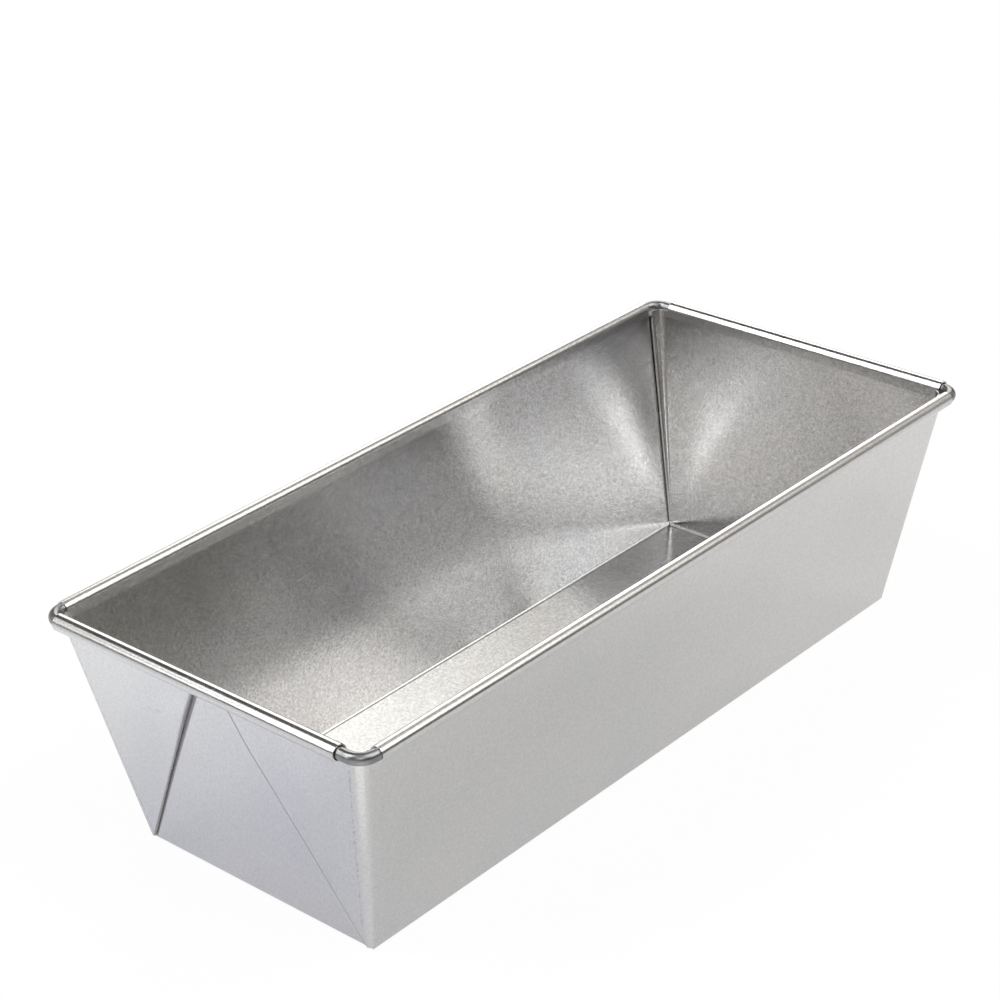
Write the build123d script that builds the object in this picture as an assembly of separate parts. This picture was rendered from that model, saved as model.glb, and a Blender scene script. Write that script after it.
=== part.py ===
from build123d import *
import math
import os

# Loaf pan folded from one blank of tinplate, with its rim rolled round a steel wire.
# Millimetres. X runs along the pan, Y across it, Z up, and the origin is the middle of the underside.

# Overall sizes over the rolled rim, and how far the rim stands out past the sharp edges of the foot
LENGTH = 250.0
WIDTH = 115.0
HEIGHT = 70.0
END_OVERHANG = 15.5
SIDE_OVERHANG = 17.25

# Sheet, with the inside radius of the bend between floor and walls
SHEET = 0.35
FLOOR_BEND_INSIDE = 0.95

# Wire in the rim: its diameter, the centre line radius of its corners, and the gap at its butt joint
WIRE = 3.3
WIRE_BEND = 4.5
WIRE_JOINT_GAP = 0.3

# Rolls round the wire. The end rolls are looser, because they close over the tips of the gussets.
SIDE_ROLL_CLEARANCE = 0.05
END_ROLL_CLEARANCE = 0.28
ROLL_PAST_LOWEST = 25.0

# How far each roll stops short of the sharp corner of the wire
SIDE_ROLL_SETBACK = 5.0
END_ROLL_NARROW_SETBACK = 4.5
END_ROLL_WIDE_SETBACK = 7.2

# Gussets: where the free folds stand at the rim, as shares of half the foot's width from the middle of the
# end wall, and the gap between the gussets and the rolls
BACK_FOLD_SHARE = 0.04
FRONT_FOLD_SHARE = 0.17
ROLL_TO_GUSSET = 0.1

# Folded corners, at the foot of the walls and at the rim. The layers are pinched together at the foot and
# open towards the rim: wrap is the inside radius of the end wall where it turns along the side wall, hem is
# the space inside the turn back, lap the space between the gusset and the corner, and fold the space inside
# the free fold.
FOOT_WRAP, RIM_WRAP = 0.06, 2.6
FOOT_HEM_GAP, RIM_HEM_GAP = 0.07, 0.2
FOOT_LAP_GAP, RIM_LAP_GAP = 0.07, 0.25
FOOT_FOLD_GAP, RIM_FOLD_GAP = 0.07, 0.95
LEAST_GUSSET_FLAT = 0.05

# How many arcs each bend round a corner is made of, and each fold back
CORNER_ARCS = 3
FOLD_ARCS = 2

# Overrun of cutting shapes, and the difference under which two points, or two directions, are one
OVERRUN = 2.0
SAME_POINT = 1e-6
SAME_DIRECTION_SHARE = 1e-9

# The foot, from the sizes above
FOOT_LENGTH = LENGTH - 2 * END_OVERHANG
FOOT_WIDTH = WIDTH - 2 * SIDE_OVERHANG

# Rolls and wire, from the sizes above
SIDE_ROLL_INSIDE = WIRE / 2 + SIDE_ROLL_CLEARANCE
END_ROLL_INSIDE = WIRE / 2 + END_ROLL_CLEARANCE
SIDE_ROLL = SIDE_ROLL_INSIDE + SHEET
END_ROLL = END_ROLL_INSIDE + SHEET
WIRE_X = LENGTH / 2 - END_ROLL
WIRE_Y = WIDTH / 2 - SIDE_ROLL
WIRE_LEVEL = HEIGHT - END_ROLL


def wall_slope(half_foot, wire_at, roll_inside):
    """Angle from the vertical of a wall whose outer face runs from the foot to touch its roll."""
    reach = wire_at - half_foot
    return math.atan2(reach, WIRE_LEVEL) - math.asin(roll_inside / math.hypot(reach, WIRE_LEVEL))


END_SLOPE = wall_slope(FOOT_LENGTH / 2, WIRE_X, END_ROLL_INSIDE)
SIDE_SLOPE = wall_slope(FOOT_WIDTH / 2, WIRE_Y, SIDE_ROLL_INSIDE)

# The sheet cut level is a little thicker than the sheet itself
LEVEL_SHEET = SHEET / math.cos(END_SLOPE)
HALF_SHEET = LEVEL_SHEET / 2

# The walls run from the top of the floor bend, through the top of the gussets, to the level of the wire
FLOOR_BEND_OUTSIDE = FLOOR_BEND_INSIDE + SHEET
WALL_FOOT = FLOOR_BEND_OUTSIDE
GUSSET_TOP = WIRE_LEVEL - END_ROLL - ROLL_TO_GUSSET

CORNERS = [(1, 1), (-1, 1), (-1, -1), (1, -1)]


def end_face(z):
    """Outer face of an end wall at a height, measured from the middle of the pan."""
    return FOOT_LENGTH / 2 + z * math.tan(END_SLOPE)


def side_face(z):
    """Outer face of a side wall at a height, measured from the middle of the pan."""
    return FOOT_WIDTH / 2 + z * math.tan(SIDE_SLOPE)


def rising(z, at_foot, at_rim):
    """A size that changes evenly from the foot of the walls to the level of the wire."""
    share = (z - WALL_FOOT) / (WIRE_LEVEL - WALL_FOOT)
    return at_foot + (at_rim - at_foot) * share


def layer_radii(z):
    """Radii of the sheet's middle round a corner: the wrap, the gusset's inner layer and its outer layer."""
    wrap = rising(z, FOOT_WRAP, RIM_WRAP) + HALF_SHEET
    inner = wrap + rising(z, FOOT_HEM_GAP, RIM_HEM_GAP) + LEVEL_SHEET
    outer = inner + rising(z, FOOT_LAP_GAP, RIM_LAP_GAP) + LEVEL_SHEET
    return wrap, inner, outer


def corner_centre(z):
    """The centre that all the layers at a corner bend round."""
    wrap, _, outer = layer_radii(z)
    return end_face(z) - HALF_SHEET - wrap, side_face(z) - HALF_SHEET - outer


def fold_width(z):
    """Distance across the free fold, from the middle of one layer to the middle of the other."""
    return rising(z, FOOT_FOLD_GAP, RIM_FOLD_GAP) + LEVEL_SHEET


def fold_centre(z, side):
    """Where the free fold turns, across the pan: by the corner at the foot, near the middle at the rim."""
    share = BACK_FOLD_SHARE if side > 0 else FRONT_FOLD_SHARE
    at_rim = FOOT_WIDTH / 2 * share + fold_width(WIRE_LEVEL) / 2 + HALF_SHEET
    at_foot = corner_centre(WALL_FOOT)[1] - LEAST_GUSSET_FLAT
    return rising(z, at_foot, at_rim)


def bend(end, side, z, centre, radius, start, stop, arcs):
    """A level bend as equal arcs, each its start, middle and end. Angles are from out of the end wall."""
    def point(step):
        angle = math.radians(start + (stop - start) * step / (2 * arcs))
        u = centre[0] + radius * math.cos(angle)
        w = centre[1] + radius * math.sin(angle)
        return Vector(end * u, side * w, z)
    return [[point(2 * arc), point(2 * arc + 1), point(2 * arc + 2)] for arc in range(arcs)]


def turned(pieces):
    """The same run of pieces, the other way round."""
    return [piece[::-1] for piece in reversed(pieces)]


def wrap_bend(end, side, z, face):
    """The end wall turning in along the side wall. Face is 1 outside the sheet and -1 inside it."""
    wrap, _, _ = layer_radii(z)
    return bend(end, side, z, corner_centre(z), wrap + face * HALF_SHEET, 0, 90, CORNER_ARCS)


def side_bend(end, side, z, face):
    """The side wall turning out along the end wall."""
    _, _, outer = layer_radii(z)
    return bend(end, side, z, corner_centre(z), outer + face * HALF_SHEET, 0, 90, CORNER_ARCS)


def hem_bends(end, side, z, face):
    """The turn back inside the corner, and the gusset's inner layer coming out round the wrap."""
    wrap, inner, _ = layer_radii(z)
    u, w = corner_centre(z)
    hem_radius = (inner - wrap) / 2 - face * HALF_SHEET
    hem = bend(end, side, z, (u, w + (wrap + inner) / 2), hem_radius, -90, -270, FOLD_ARCS)
    return hem + bend(end, side, z, (u, w), inner - face * HALF_SHEET, 90, 0, CORNER_ARCS)


def free_fold(end, side, z, face):
    """The gusset's free edge, where its inner layer turns out and back over itself."""
    _, inner, _ = layer_radii(z)
    u, _ = corner_centre(z)
    width = fold_width(z)
    centre = (u + inner + width / 2, fold_centre(z, side))
    return bend(end, side, z, centre, width / 2 + face * HALF_SHEET, -180, 0, FOLD_ARCS)


def folded_corner(end, side, z, face):
    """The bends of one face of the sheet from the end wall, through the gusset, to the side wall."""
    inside = wrap_bend(end, side, z, face) + hem_bends(end, side, z, face)
    return inside + free_fold(end, side, z, face) + side_bend(end, side, z, face)


def outline(pieces):
    """Closed outline through arcs and single points, with a straight run wherever two don't meet."""
    edges = []
    for piece, following in zip(pieces, pieces[1:] + pieces[:1]):
        if len(piece) > 1:
            edges.append(ThreePointArc(*piece))
        if (following[0] - piece[-1]).length > SAME_POINT:
            edges.append(Line(piece[-1], following[0]))
    return Wire(edges)


def around(z, face):
    """One face of the folded sheet at a height, all the way round the pan."""
    pieces = []
    for end, side in CORNERS:
        corner = folded_corner(end, side, z, face)
        pieces += corner if end * side > 0 else turned(corner)
    return outline(pieces)


def between(below, above):
    """Face between two edges that match, flat where they are parallel and ruled where they aren't."""
    straight = below.geom_type == GeomType.LINE and above.geom_type == GeomType.LINE
    if straight and (below % 0).cross(above % 0).length < SAME_DIRECTION_SHARE:
        return Face(Wire.make_polygon([below @ 0, below @ 1, above @ 1, above @ 0]))
    return Face.make_surface_from_curves(below, above)


def raised(section, low, high):
    """Solid between a section at a low level and the same section at a high level, in straight lines."""
    lower = section(low)
    upper = section(high)
    sides = [between(below, above) for below, above in zip(lower.edges(), upper.edges())]
    return Solid(Shell([Face(lower), Face(upper)] + sides))


def folded_walls():
    """Walls and gussets, from the top of the floor bend to just below the rolls."""
    outside = raised(lambda z: around(z, 1), WALL_FOOT, GUSSET_TOP)
    inside = raised(lambda z: around(z, -1), WALL_FOOT - SHEET / 2, GUSSET_TOP + OVERRUN)
    return outside - inside


def end_neck(end):
    """An end wall between the gussets and the wire, with its turned-in edges."""
    def section(z):
        outer = turned(wrap_bend(end, -1, z, 1)) + wrap_bend(end, 1, z, 1)
        inner = turned(wrap_bend(end, -1, z, -1)) + wrap_bend(end, 1, z, -1)
        return outline(outer + turned(inner))
    return raised(section, GUSSET_TOP, WIRE_LEVEL)


def side_neck(side):
    """A side wall between the gussets and the wire, cut back where the bare wire passes its corners."""
    def section(z):
        outer = side_bend(1, side, z, 1)[-1:] + turned(side_bend(-1, side, z, 1)[-1:])
        inner = side_bend(1, side, z, -1)[-1:] + turned(side_bend(-1, side, z, -1)[-1:])
        return outline(outer + turned(inner))
    return raised(section, GUSSET_TOP, WIRE_LEVEL)


def tray_block(inset, bottom, radius, top):
    """Solid with the slopes of the walls and rounded lower edges, for either face of the foot."""
    def section(z):
        return outline([[Vector(end * (end_face(z) - inset), side * (side_face(z) - inset), z)]
                        for end, side in CORNERS])
    block = raised(section, bottom, top)
    return block.fillet(radius, block.edges().group_by(Axis.Z)[0])


def gusset_toe(end, side):
    """The foot of a gusset, where its folds run together into the corner of the floor bend."""
    z = WALL_FOOT
    u, _ = corner_centre(z)
    in_end_wall = [Vector(end * (end_face(z) - HALF_SHEET), side * fold_centre(z, side), z)]
    in_side_wall = [Vector(end * u, side * (side_face(z) - HALF_SHEET), z)]
    folds = free_fold(end, side, z, 1) + side_bend(end, side, z, 1)
    top = outline([in_end_wall] + folds + [in_side_wall])
    tucked_in = FLOOR_BEND_OUTSIDE - (FLOOR_BEND_OUTSIDE - HALF_SHEET) * math.sqrt(1 / 2)
    tip = Vertex(end * (end_face(0) - tucked_in / 2), side * (side_face(0) - tucked_in / 2), tucked_in)
    return Solid.make_loft([top, tip], ruled=True)


def floor_tray():
    """Floor with its bends up to the foot of the walls, and the feet of the four gussets."""
    outside = tray_block(0, 0, FLOOR_BEND_OUTSIDE, WALL_FOOT)
    for end, side in CORNERS:
        outside += gusset_toe(end, side)
    return outside - tray_block(LEVEL_SHEET, SHEET, FLOOR_BEND_INSIDE, WALL_FOOT + OVERRUN)


def roll_section(place, wall_face, wire_at, inside, slope):
    """Section of a roll: up the wall from the level of the wire, over the wire and back under it."""
    def turn(radius):
        start = 180 - math.degrees(slope)
        stop = -90 - ROLL_PAST_LOWEST
        quarter = (stop - start) / 4
        def point(step):
            angle = math.radians(start + quarter * step)
            return place(wire_at + radius * math.cos(angle), WIRE_LEVEL + radius * math.sin(angle))
        return [[point(step) for step in (0, 1, 2)], [point(step) for step in (2, 3, 4)]]
    outer_face = [place(wall_face, WIRE_LEVEL)]
    inner_face = [place(wall_face - LEVEL_SHEET, WIRE_LEVEL)]
    return Face(outline([outer_face] + turn(inside) + turned(turn(inside + SHEET)) + [inner_face]))


def end_roll(end):
    """Roll along an end of the pan, from one corner's setback to the other's."""
    stops = []
    for side in (-1, 1):
        setback = END_ROLL_WIDE_SETBACK if end * side > 0 else END_ROLL_NARROW_SETBACK
        stops.append(side * (WIRE_Y - setback))
    section = roll_section(
        lambda u, z: Vector(end * u, stops[0], z), end_face(WIRE_LEVEL), WIRE_X, END_ROLL_INSIDE, END_SLOPE)
    return Solid.extrude(section, Vector(0, stops[1] - stops[0], 0))


def side_roll(side):
    """Roll along a side of the pan."""
    reach = WIRE_X - SIDE_ROLL_SETBACK
    section = roll_section(
        lambda w, z: Vector(-reach, side * w, z), side_face(WIRE_LEVEL), WIRE_Y, SIDE_ROLL_INSIDE, SIDE_SLOPE)
    return Solid.extrude(section, Vector(2 * reach, 0, 0))


def pan_sheet():
    """The folded blank: floor, walls, gussets and rolls in one piece of sheet."""
    sheet = folded_walls() + floor_tray()
    for sign in (-1, 1):
        sheet += end_neck(sign)
        sheet += side_neck(sign)
    for sign in (-1, 1):
        sheet += end_roll(sign)
        sheet += side_roll(sign)
    return sheet.clean()


def rim_wire():
    """The wire inside the rolls, bent round the corners and butted inside the front roll."""
    butt = WIRE_JOINT_GAP / 2
    corners = [(WIRE_X, -WIRE_Y), (WIRE_X, WIRE_Y), (-WIRE_X, WIRE_Y), (-WIRE_X, -WIRE_Y)]
    stops = [(butt, -WIRE_Y)] + corners + [(-butt, -WIRE_Y)]
    path = FilletPolyline(*[(x, y, WIRE_LEVEL) for x, y in stops], radius=WIRE_BEND)
    start = Plane(origin=path @ 0, z_dir=path % 0)
    return sweep(start * Circle(WIRE / 2), path=path)


os.makedirs("parts", exist_ok=True)
for name, piece in (("pan_sheet", pan_sheet()), ("rim_wire", rim_wire())):
    piece.label = name
    export_step(piece, f"parts/{name}.step")
    print(name, "volume", round(piece.volume, 1), "solids", len(piece.solids()))
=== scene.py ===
import bmesh
import bpy
import math
from mathutils import Matrix, Vector, noise


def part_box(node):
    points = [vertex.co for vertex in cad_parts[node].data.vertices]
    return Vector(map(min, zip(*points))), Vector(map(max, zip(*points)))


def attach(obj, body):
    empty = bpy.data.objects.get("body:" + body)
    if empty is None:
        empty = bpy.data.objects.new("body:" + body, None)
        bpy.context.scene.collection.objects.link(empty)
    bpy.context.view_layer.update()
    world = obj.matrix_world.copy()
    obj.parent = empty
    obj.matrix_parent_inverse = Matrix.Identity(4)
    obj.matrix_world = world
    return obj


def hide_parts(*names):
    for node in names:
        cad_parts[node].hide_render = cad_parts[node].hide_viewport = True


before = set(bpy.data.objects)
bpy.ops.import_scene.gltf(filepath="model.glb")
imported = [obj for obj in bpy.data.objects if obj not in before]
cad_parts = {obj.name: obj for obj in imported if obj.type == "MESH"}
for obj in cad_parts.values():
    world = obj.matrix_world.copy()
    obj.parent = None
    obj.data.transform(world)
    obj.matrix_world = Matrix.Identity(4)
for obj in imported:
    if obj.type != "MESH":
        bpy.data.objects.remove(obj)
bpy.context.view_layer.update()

# Lengths are in metres and angles in degrees, unless a comment says otherwise
MM = 0.001
WHITE = (1, 1, 1, 1)

# The photograph's camera, fitted to the pan's rim and foot. Its lens and sensor are in millimetres.
CAMERA_PLACE = (-0.477684, -0.431908, 0.400371)
CAMERA_YAW = 47.1371
CAMERA_PITCH = 27.3408
CAMERA_ROLL = -2.8725
CAMERA_LENS = 96.578
CAMERA_SENSOR = 36.0

# The pan as the CAD has it: half the foot, how far each wall leans out over its height, and the rolls' level
HALF_FOOT_X = 109.5 * MM
HALF_FOOT_Y = 40.25 * MM
END_LEAN = math.tan(math.radians(9.44))
SIDE_LEAN = math.tan(math.radians(11.25))
RIM_LEVEL = 65.3 * MM
# A point inside the pan, halfway along it and across it, from which inside and outside are told apart
PAN_MIDDLE = (0, 0, 50 * MM)
# Sheet belongs to a wall from this far inside the wall's plane to this far outside it
WALL_REACH_IN = 1.2 * MM
WALL_REACH_OUT = 2.6 * MM
# Sheet further out than this on an end wall is the outer part of a gusset
GUSSET_SKIN = 0.75 * MM
# A gusset's free edge, from the middle of the end wall: at the foot, and at the rim behind and in front
EDGE_FOOT = 39.6 * MM
BACK_EDGE = 2.3 * MM
FRONT_EDGE = 7.5 * MM
# The least distance from the free edge to the corner that a share of the way across is worked out with
LEAST_GUSSET = 1.0 * MM

# How finely the sheet is cut along each axis, so that it can bend
CUT_STEPS = (4.5 * MM, 3.5 * MM, 3.0 * MM)
SAME_POINT = 1e-6
ON_THE_CUT = 1e-7
SHARP_ANGLE = 32
# A wall's bow at its middle, inwards where it is minus, and the share of its half length that eases it in
SIDE_BOW = -0.5 * MM
END_BOW = -0.35 * MM
SIDE_EASE = 0.12
END_EASE = 0.2
# Aimless waves on the walls
WAVE = 0.03 * MM
WAVE_SCALE = 1 / (42 * MM)
WAVE_SEEDS = {"back": 3.0, "front": 9.0, "far": 15.0, "near": 21.0}
# An end wall is pressed in beside each corner, most of all towards the rim, by the gusset's layers
PRESSED = 0.8 * MM
# A gusset's free edge stands off the wall. Its flat falls back over this share of the way to the corner, and
# from this share of the way up it all comes back to the wall, clear of the roll.
EDGE_LIFT = 0.8 * MM
LIFT_SHARE = 0.5
CLEAR_FROM = 0.8

# Painted shade along a gusset's free edge, where it stands off the wall, measured from the edge towards the
# corner: where it starts and is full, how wide it is at the foot, how much wider it gets up to the rim in
# front and behind, and how softly it ends
FOLD_SHADE_START = -0.7 * MM
FOLD_SHADE_FULL = -0.25 * MM
FOLD_SHADE_WIDTH = 0.6 * MM
FOLD_SHADE_GROWS_FRONT = 1.4 * MM
FOLD_SHADE_GROWS_BACK = 0.45 * MM
FOLD_SHADE_SOFT = 0.5 * MM
# It is on the outside of the end walls, which dish inwards by less than this
END_WALL_DISH = 2.6 * MM
# Dotted painted shade where the outside of the end wall turns into the long wall: half the end wall's width
# at the foot, how fast that widens, half the line's own width with and without its soft edge, and its
# strength
TURN_LINE_FOOT = HALF_FOOT_Y - 2.3 * MM
TURN_LINE_LEAN = SIDE_LEAN - 0.021
TURN_LINE_HALF = 0.35 * MM
TURN_LINE_CORE = 0.1 * MM
TURN_LINE_SHARE = 0.6

# Noises in the metals: features in a metre, detail, roughness
GRAIN = (1500.0, 2.0, 0.75)
SPECKS = (1400.0, 2.0, 0.6)
STAINS = (24.0, 3.0, 0.55)
DULL_PATCHES = (60.0, 3.0, 0.6)
DOTS = (900.0, 1.0, 0.5)
WIRE_GRAIN = (900.0, 3.0, 0.6)
WIRE_MOTTLE = (220.0, 3.0, 0.6)
# The stretch of a noise that is spread from none to full
TIN_STRETCH = (0.3, 0.7)
DOTS_STRETCH = (0.42, 0.62)
WIRE_STRETCH = (0.35, 0.65)

# The tin's two tones, its specks' middle and swing inside and outside, and its roughness from least to most
TIN_TONES = ((0.640, 0.641, 0.646, 1), (0.662, 0.658, 0.652, 1))
SPECK_MIDDLE = (0.95, 1.0)
SPECK_SWING = (0.16, 0.075)
TIN_ROUGHNESS = (0.13, 0.16)
GRAIN_DEPTH = 0.02 * MM
# What the painted shade along the folds does to the tin, and how much duller the rolls are, from just above
# the walls
FOLD_SHADE_TONE = (0.25, 0.225, 0.21, 1)
FOLD_SHADE_SHARE = 0.6
FOLD_SHADE_ROUGHNESS = 0.25
ROLL_ROUGHNESS = 0.10
ROLL_EASE = 1.0 * MM
# The wire's two tones
WIRE_TONES = ((0.25, 0.253, 0.26, 1), (0.33, 0.333, 0.337, 1))
WIRE_ROUGHNESS = 0.33
WIRE_GRAIN_DEPTH = 0.03 * MM

# The studio's soft lights, and the gaps between them where the level is minus, as seen from the pan: name,
# azimuth from +X, elevation, half width, softness, and the level added in red, green and blue. The numbers
# come from a program that fitted the rendered metal's tones to the photograph's.
LIGHTS = (
    ("back_left", 135.6, 54.2, 14.3, 5.1, (5.12, 5.14, 5.16)),
    ("front_right", 295.0, 53.7, 25.3, 10.3, (2.72, 2.70, 2.62)),
    ("back_right", 34.9, 20.7, 17.8, 8.1, (3.14, 3.09, 3.03)),
    ("left", 221.8, 41.5, 15.2, 11.1, (1.75, 1.76, 1.80)),
    ("low_left", 145.5, 25.2, 10.1, 5.8, (4.81, 4.79, 4.81)),
    ("front_low", 265.0, -2.1, 44.8, 31.4, (-0.62, -0.61, -0.62)),
    ("behind_high", 75.4, 52.6, 16.0, 15.4, (-1.10, -1.10, -1.10)),
    ("left_gap", 182.0, 37.5, 16.2, 12.6, (-0.87, -0.87, -0.86)),
    ("right_low", 24.1, 3.3, 19.0, 13.1, (-2.45, -2.45, -2.45)),
    ("back_low", 142.5, -0.9, 19.1, 10.5, (-1.09, -1.09, -1.07)),
    ("far_right", 351.2, 23.2, 8.5, 10.4, (0.48, 0.48, 0.48)),
    ("near_gap", 231.5, 9.5, 10.1, 11.4, (-0.34, -0.34, -0.32)),
)
ROOM = (0.42, 0.40, 0.37)
LEAST_LEVEL = (0.03, 0.03, 0.03)

# The floor lies a hair below the foot, so that the two faces don't fall together
FLOOR_DROP = -0.03 * MM
FLOOR_REACH = 4.0
FLOOR_PAINT = (0.9, 0.9, 0.9, 1)
# How much of the floor glows white for the camera, and how much glows at the level below for the metal
FLOOR_WHITE_SEEN = 0.95
FLOOR_WHITE_REFLECTED = 0.55
# The floor's even level in the metal, and soft pools of light on it: place, reach, level added
FLOOR_LEVEL = (0.66, 0.66, 0.67)
POOLS = (
    (-0.165, -0.095, 0.065, (0.85, 0.85, 0.84)),
    (0.15, -0.08, 0.17, (0.24, 0.23, 0.22)),
    (-0.17, 0.11, 0.13, (0.42, 0.45, 0.52)),
    (-0.14, 0.01, 0.09, (0.0, 0.02, 0.14)),
)


def add_object(name, data):
    """Puts a camera or a mesh in the scene."""
    thing = bpy.data.objects.new(name, data)
    bpy.context.scene.collection.objects.link(thing)
    return thing


def make_camera():
    """The photograph's camera."""
    data = bpy.data.cameras.new("camera")
    data.sensor_width = CAMERA_SENSOR
    data.lens = CAMERA_LENS
    camera = add_object("camera", data)
    turn = (Matrix.Rotation(math.radians(-CAMERA_YAW), 4, "Z")
            @ Matrix.Rotation(math.radians(90 - CAMERA_PITCH), 4, "X")
            @ Matrix.Rotation(math.radians(CAMERA_ROLL), 4, "Z"))
    camera.matrix_world = Matrix.Translation(Vector(CAMERA_PLACE)) @ turn
    bpy.context.scene.camera = camera


class Tree:
    """A short way to write shader nodes: each call makes a node, links its inputs and returns an output."""

    def __init__(self, owner):
        owner.use_nodes = True
        self.tree = owner.node_tree
        self.tree.nodes.clear()

    def add(self, kind, inputs=None, out=0, **settings):
        node = self.tree.nodes.new(kind)
        for key, value in settings.items():
            setattr(node, key, value)
        for key, value in (inputs or {}).items():
            if isinstance(value, bpy.types.NodeSocket):
                self.tree.links.new(value, node.inputs[key])
            else:
                node.inputs[key].default_value = value
        return node.outputs[out] if node.outputs else None

    def split(self, place):
        """The x, y and z of a place."""
        node = self.tree.nodes.new("ShaderNodeSeparateXYZ")
        self.tree.links.new(place, node.inputs[0])
        return node.outputs

    def math(self, operation, a, b=0.0, clamp=False):
        return self.add("ShaderNodeMath", {0: a, 1: b}, operation=operation, use_clamp=clamp)

    def product(self, first, *others):
        for other in others:
            first = self.math("MULTIPLY", first, other)
        return first

    def vector(self, operation, a, b, out="Vector"):
        return self.add("ShaderNodeVectorMath", {0: a, 1: b}, out=out, operation=operation)

    def scaled(self, colour, scale):
        return self.add("ShaderNodeVectorMath", {0: colour, "Scale": scale}, operation="SCALE")

    def mix(self, factor, a, b):
        return self.add("ShaderNodeMix", {"Factor": factor, "A": a, "B": b}, data_type="FLOAT")

    def mix_colour(self, factor, a, b):
        return self.add("ShaderNodeMix", {"Factor": factor, "A": a, "B": b}, out=2, data_type="RGBA")

    def ramp(self, value, low, high, to_low=0.0, to_high=1.0, kind="SMOOTHSTEP"):
        return self.add("ShaderNodeMapRange", {"Value": value, "From Min": low, "From Max": high,
                                               "To Min": to_low, "To Max": to_high}, interpolation_type=kind)

    def noise(self, place, scale, detail, roughness):
        return self.add("ShaderNodeTexNoise", {"Vector": place, "Scale": scale, "Detail": detail,
                                               "Roughness": roughness}, noise_dimensions="3D")

    def metal(self, colour, roughness, grain, depth):
        """Ends a material as metal with a fine grain."""
        bump = self.add("ShaderNodeBump", {"Height": grain, "Strength": 1.0, "Distance": depth})
        surface = self.add("ShaderNodeBsdfPrincipled", {"Base Color": colour, "Metallic": 1.0,
                                                        "Roughness": roughness, "Normal": bump})
        self.add("ShaderNodeOutputMaterial", {"Surface": surface})


def make_world():
    """Pale room with soft lights. The camera sees plain white."""
    world = bpy.data.worlds.new("studio")
    bpy.context.scene.world = world
    t = Tree(world)
    direction = t.add("ShaderNodeTexCoord", out="Generated")
    level = ROOM
    for _, azimuth, elevation, half, soft, colour in LIGHTS:
        a, e = math.radians(azimuth), math.radians(elevation)
        centre = (math.cos(e) * math.cos(a), math.cos(e) * math.sin(a), math.sin(e))
        near = t.vector("DOT_PRODUCT", direction, centre, "Value")
        share = t.ramp(near, math.cos(math.radians(half + soft / 2)), math.cos(math.radians(half - soft / 2)))
        level = t.vector("ADD", t.scaled(colour, share), level)
    level = t.vector("MAXIMUM", level, LEAST_LEVEL)
    seen = t.add("ShaderNodeLightPath", out="Is Camera Ray")
    room = t.add("ShaderNodeBackground", {"Color": level})
    white = t.add("ShaderNodeBackground", {"Color": WHITE})
    mixed = t.add("ShaderNodeMixShader", {"Fac": seen, 1: room, 2: white})
    t.add("ShaderNodeOutputWorld", {"Surface": mixed})


def make_floor():
    """White floor that keeps a faint shadow."""
    mesh = bpy.data.meshes.new("floor")
    sides = ((-1, -1), (1, -1), (1, 1), (-1, 1))
    corners = [(x * FLOOR_REACH, y * FLOOR_REACH, FLOOR_DROP) for x, y in sides]
    mesh.from_pydata(corners, [], [(0, 1, 2, 3)])
    material = bpy.data.materials.new("floor_white")
    mesh.materials.append(material)
    t = Tree(material)
    camera_ray = t.add("ShaderNodeLightPath", out="Is Camera Ray")
    glossy_ray = t.add("ShaderNodeLightPath", out="Is Glossy Ray")
    place = t.add("ShaderNodeTexCoord", out="Object")
    level = FLOOR_LEVEL
    for x, y, reach, colour in POOLS:
        away = t.vector("DISTANCE", place, (x, y, 0), "Value")
        level = t.vector("ADD", t.scaled(colour, t.ramp(away, reach, 0.0)), level)
    glow = t.add("ShaderNodeEmission", {"Color": t.mix_colour(camera_ray, level, WHITE), "Strength": 1.0})
    share = t.math("MAXIMUM", t.math("MULTIPLY", camera_ray, FLOOR_WHITE_SEEN),
                   t.math("MULTIPLY", glossy_ray, FLOOR_WHITE_REFLECTED))
    paint = t.add("ShaderNodeBsdfDiffuse", {"Color": FLOOR_PAINT})
    mixed = t.add("ShaderNodeMixShader", {"Fac": share, 1: paint, 2: glow})
    t.add("ShaderNodeOutputMaterial", {"Surface": mixed})
    add_object("floor", mesh)


def faces_out(t, place):
    """1 on the outside of the pan and 0 on its inside: whether the surface faces away from the middle."""
    normal = t.add("ShaderNodeNewGeometry", out="True Normal")
    from_middle = t.vector("SUBTRACT", place, PAN_MIDDLE)
    return t.math("GREATER_THAN", t.vector("DOT_PRODUCT", normal, from_middle, "Value"), 0.0)


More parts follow.
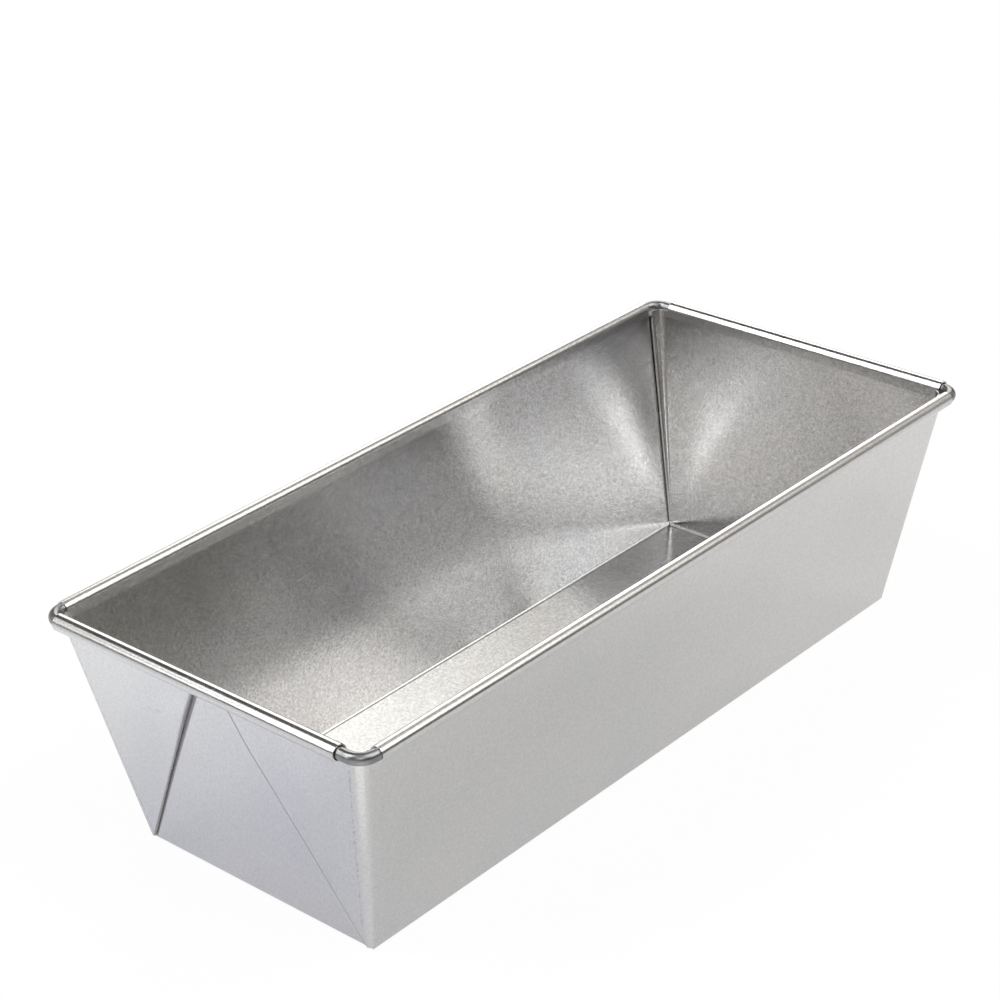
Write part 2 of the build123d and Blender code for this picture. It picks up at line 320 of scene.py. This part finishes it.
def painted_fold_shade(t, place, outside):
    """How strongly shade is painted on the tin outside: along the gussets' free edges and, dotted, where the
    corners turn.
    """
    x, y, z = t.split(place)
    behind = t.math("GREATER_THAN", y, 0.0)
    across = t.math("ABSOLUTE", y)
    up = t.math("DIVIDE", z, RIM_LEVEL, clamp=True)

    tip = t.mix(behind, FRONT_EDGE, BACK_EDGE)
    edge = t.math("ADD", EDGE_FOOT, t.math("MULTIPLY", t.math("SUBTRACT", tip, EDGE_FOOT), up))
    from_edge = t.math("SUBTRACT", across, edge)
    grows = t.mix(behind, FOLD_SHADE_GROWS_FRONT, FOLD_SHADE_GROWS_BACK)
    width = t.math("ADD", t.math("MULTIPLY", grows, up), FOLD_SHADE_WIDTH)
    fade = t.ramp(t.math("SUBTRACT", from_edge, width), 0.0, -FOLD_SHADE_SOFT)
    line = t.math("MULTIPLY", t.ramp(from_edge, FOLD_SHADE_START, FOLD_SHADE_FULL), fade)

    # Painted shade, dotted by noise, along the line where the end wall turns into the long wall
    turn = t.math("ADD", TURN_LINE_FOOT, t.math("MULTIPLY", z, TURN_LINE_LEAN))
    from_turn = t.math("ABSOLUTE", t.math("SUBTRACT", turn, across))
    dots = t.ramp(t.noise(place, *DOTS), *DOTS_STRETCH)
    dotted = t.product(t.ramp(from_turn, TURN_LINE_HALF, TURN_LINE_CORE), dots, TURN_LINE_SHARE)

    end_plane = t.math("ADD", HALF_FOOT_X, t.math("MULTIPLY", z, END_LEAN))
    out = t.math("SUBTRACT", t.math("ABSOLUTE", x), end_plane)
    end_wall = t.math("GREATER_THAN", out, -END_WALL_DISH)
    below_rim = t.math("LESS_THAN", z, RIM_LEVEL)
    return t.product(t.math("MAXIMUM", line, dotted), below_rim, end_wall, outside)


def tinplate():
    """Bright tinplate: smooth metal with a fine grain, faint stains and painted shade lines along the folds.
    """
    material = bpy.data.materials.new("tinplate_bright")
    t = Tree(material)
    place = t.add("ShaderNodeTexCoord", out="Object")
    outside = faces_out(t, place)
    fold_shade = painted_fold_shade(t, place, outside)

    stain = t.mix_colour(t.ramp(t.noise(place, *STAINS), *TIN_STRETCH), *TIN_TONES)
    speck = t.ramp(t.noise(place, *SPECKS), *TIN_STRETCH, -1.0, 1.0, "LINEAR")
    speck = t.math("MULTIPLY", speck, t.mix(outside, *SPECK_SWING))
    speck = t.math("ADD", t.mix(outside, *SPECK_MIDDLE), speck)
    # Painted shade: dark lines along the gussets' free edges and, dotted, where the corners turn; the tin is
    # also rougher there
    colour = t.mix_colour(t.math("MULTIPLY", fold_shade, FOLD_SHADE_SHARE), t.scaled(stain, speck), FOLD_SHADE_TONE)

    rough = t.ramp(t.noise(place, *DULL_PATCHES), *TIN_STRETCH, *TIN_ROUGHNESS, "LINEAR")
    height = t.split(place)["Z"]
    rough = t.math("ADD", rough, t.ramp(height, RIM_LEVEL, RIM_LEVEL + ROLL_EASE, 0.0, ROLL_ROUGHNESS))
    rough = t.math("ADD", rough, t.math("MULTIPLY", fold_shade, FOLD_SHADE_ROUGHNESS))
    t.metal(colour, rough, t.noise(place, *GRAIN), GRAIN_DEPTH)
    return material


def drawn_wire():
    """Dull grey drawn wire, a little mottled."""
    material = bpy.data.materials.new("wire_grey")
    t = Tree(material)
    place = t.add("ShaderNodeTexCoord", out="Object")
    colour = t.mix_colour(t.ramp(t.noise(place, *WIRE_MOTTLE), *WIRE_STRETCH), *WIRE_TONES)
    t.metal(colour, WIRE_ROUGHNESS, t.noise(place, *WIRE_GRAIN), WIRE_GRAIN_DEPTH)
    return material


def kept_share(value):
    """The value, kept from 0 to 1."""
    return min(max(value, 0.0), 1.0)


def smooth(value):
    """0 below 0, 1 above 1, and an even curve between."""
    value = kept_share(value)
    return value * value * (3 - 2 * value)


def wave(a, b, wall):
    """Even, aimless waves on a wall, from -1 to 1."""
    return noise.noise(Vector((a * WAVE_SCALE, b * WAVE_SCALE, WAVE_SEEDS[wall])))


def on_wall(out, out_of_others):
    """Whether sheet is on a wall, by how far it is outside that wall and outside the two that meet it."""
    return -WALL_REACH_IN < out < WALL_REACH_OUT and out_of_others < -WALL_REACH_IN


def bowed(along, bow, ease, waves):
    """How far a wall has bowed and waved outwards, from -1 to 1 of its half length."""
    return smooth((1 - abs(along)) / ease) * (bow * (1 - along * along) + WAVE * waves)


def folded_push(y, half_width, end_out, up):
    """How far a gusset presses the end wall and stands off it, outwards where it is plus."""
    tip = BACK_EDGE if y > 0 else FRONT_EDGE
    edge = EDGE_FOOT + (tip - EDGE_FOOT) * up
    across = (abs(y) - edge) / max(half_width - edge, LEAST_GUSSET)
    push = 0.0
    if across > 0:
        push -= PRESSED * math.sin(math.pi * up) * math.sin(math.pi * min(across, 1)) ** 2 * up
    if end_out > GUSSET_SKIN:
        clear_of_roll = 1 - smooth((up - CLEAR_FROM) / (1 - CLEAR_FROM))
        push += EDGE_LIFT * smooth((LIFT_SHARE - across) / LIFT_SHARE) * up * clear_of_roll
    return push


def sprung(p):
    """Where a point of the flat-walled sheet lies on the real one."""
    half_length = HALF_FOOT_X + p.z * END_LEAN
    half_width = HALF_FOOT_Y + p.z * SIDE_LEAN
    end_out = abs(p.x) - half_length
    side_out = abs(p.y) - half_width
    up = kept_share(p.z / RIM_LEVEL)
    rise = math.sin(math.pi * up)
    moved = p.copy()
    if on_wall(side_out, end_out):
        waves = wave(p.x, p.z, "back" if p.y > 0 else "front")
        moved.y += math.copysign(rise * bowed(p.x / half_length, SIDE_BOW, SIDE_EASE, waves), p.y)
    elif on_wall(end_out, side_out):
        waves = wave(p.y, p.z, "far" if p.x > 0 else "near")
        push = rise * bowed(p.y / half_width, END_BOW, END_EASE, waves)
        moved.x += math.copysign(push + folded_push(p.y, half_width, end_out, up), p.x)
    return moved


def cut_finely(work, low, high):
    """Cuts a mesh by evenly spaced planes along each axis of its box."""
    for axis in range(3):
        steps = int((high[axis] - low[axis]) / CUT_STEPS[axis])
        for step in range(1, steps):
            place, normal = Vector((0, 0, 0)), Vector((0, 0, 0))
            place[axis] = low[axis] + (high[axis] - low[axis]) * step / steps
            normal[axis] = 1
            everything = work.verts[:] + work.edges[:] + work.faces[:]
            bmesh.ops.bisect_plane(work, geom=everything, dist=ON_THE_CUT, plane_co=place, plane_no=normal)


def make_sheet(material):
    """The folded sheet again, cut finely enough to bend, and sprung out of flat."""
    work = bmesh.new()
    work.from_mesh(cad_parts["pan_sheet"].data)
    bmesh.ops.remove_doubles(work, verts=work.verts, dist=SAME_POINT)
    cut_finely(work, *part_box("pan_sheet"))
    for vertex in work.verts:
        vertex.co = sprung(vertex.co)
    for face in work.faces:
        face.smooth = True
    for edge in work.edges:
        edge.smooth = len(edge.link_faces) == 2 and edge.calc_face_angle(0.0) < math.radians(SHARP_ANGLE)
    mesh = bpy.data.meshes.new("folded_sheet")
    work.to_mesh(mesh)
    work.free()
    mesh.materials.append(material)
    sheet = add_object("folded_sheet", mesh)
    weights = sheet.modifiers.new("weights", "WEIGHTED_NORMAL")
    weights.keep_sharp = True
    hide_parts("pan_sheet")
    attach(sheet, "root")


def dress_wire(material):
    """Puts the grey metal on the CAD's own wire."""
    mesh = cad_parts["rim_wire"].data
    mesh.materials.clear()
    mesh.materials.append(material)


bpy.context.scene.view_settings.view_transform = "Standard"
make_camera()
make_floor()
make_world()
make_sheet(tinplate())
dress_wire(drawn_wire())
